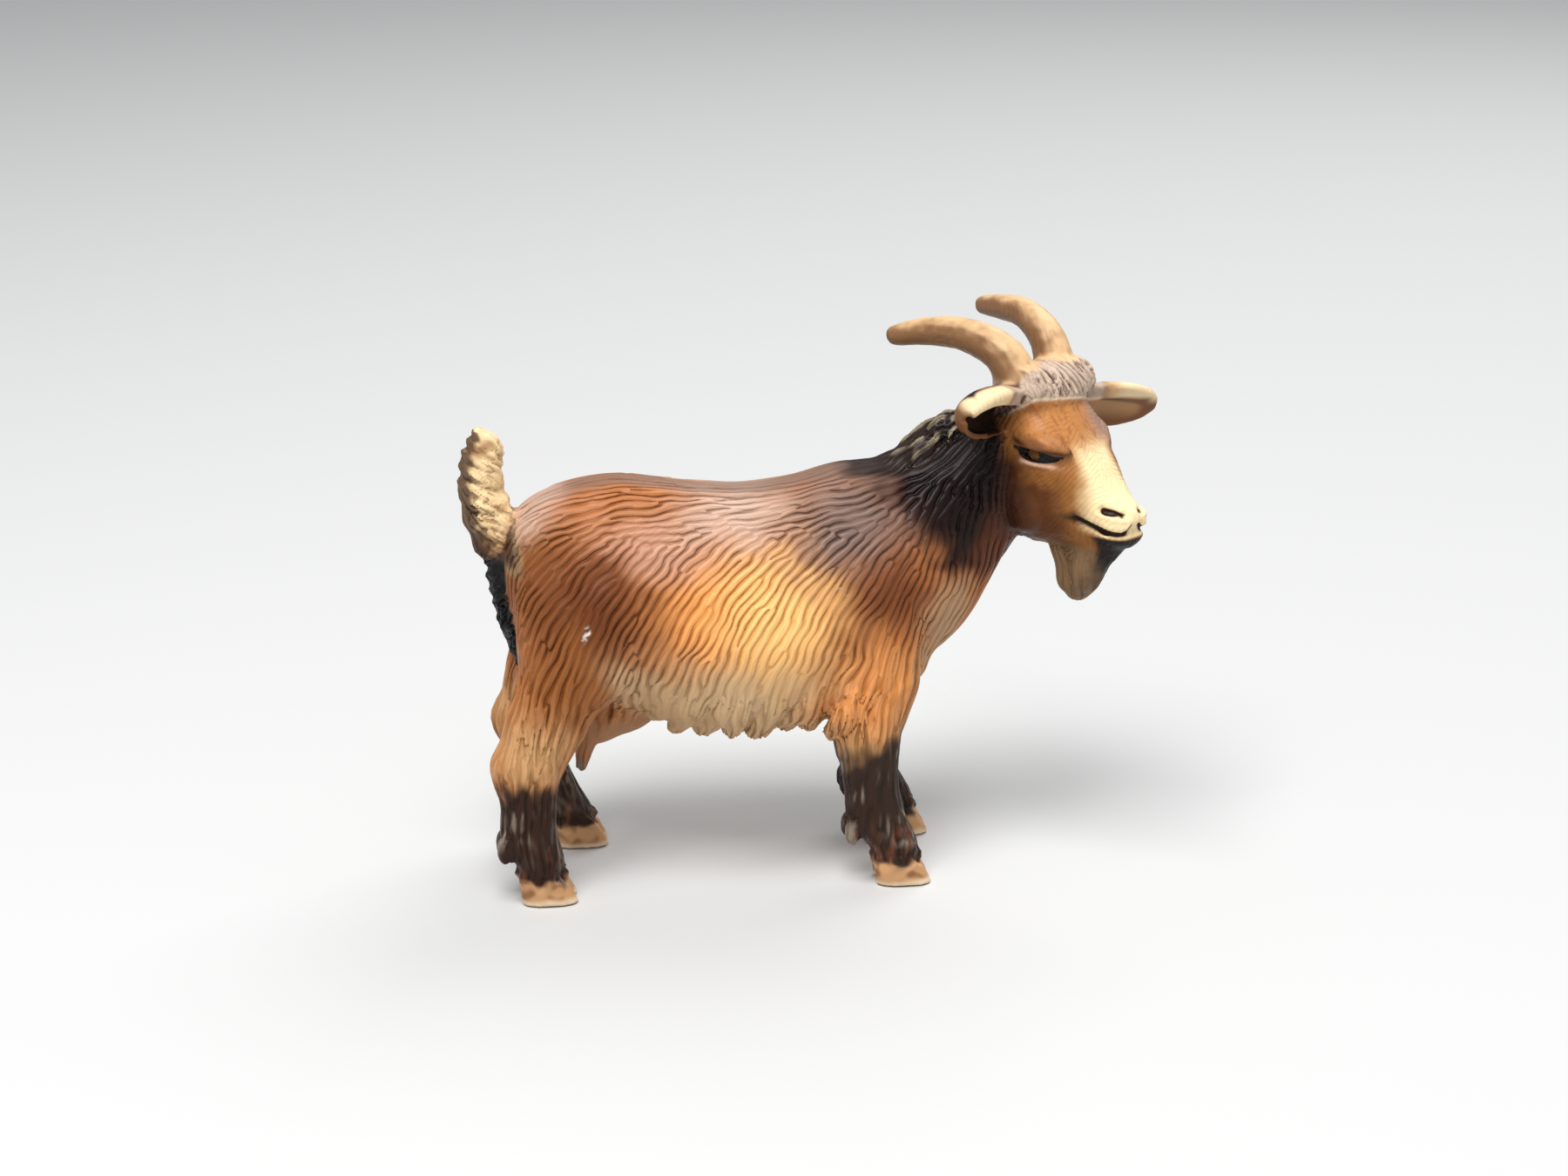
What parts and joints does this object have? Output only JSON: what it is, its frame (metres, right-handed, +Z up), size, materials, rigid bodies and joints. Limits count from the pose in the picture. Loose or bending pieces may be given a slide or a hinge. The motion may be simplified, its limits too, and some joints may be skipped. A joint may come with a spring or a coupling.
{
  "type": "goat figurine",
  "caption": "Standing goat figurine, moulded in one piece, with swept-back horns, a beard, a raised tail, and its head turned to its right.",
  "frame": {"origin": "on the ground, under the middle of the goat's box", "axes": "+X the way the body faces, +Y its left side, +Z up from the soles"},
  "size_m": [0.0786, 0.0272, 0.0634],
  "materials": {
    "painted_plastic": "satin paint over moulded plastic, brown coat with dark back and legs and pale belly"
  },
  "bodies": {
    "root": {"goat": "painted_plastic"}
  },
  "joints": []
}
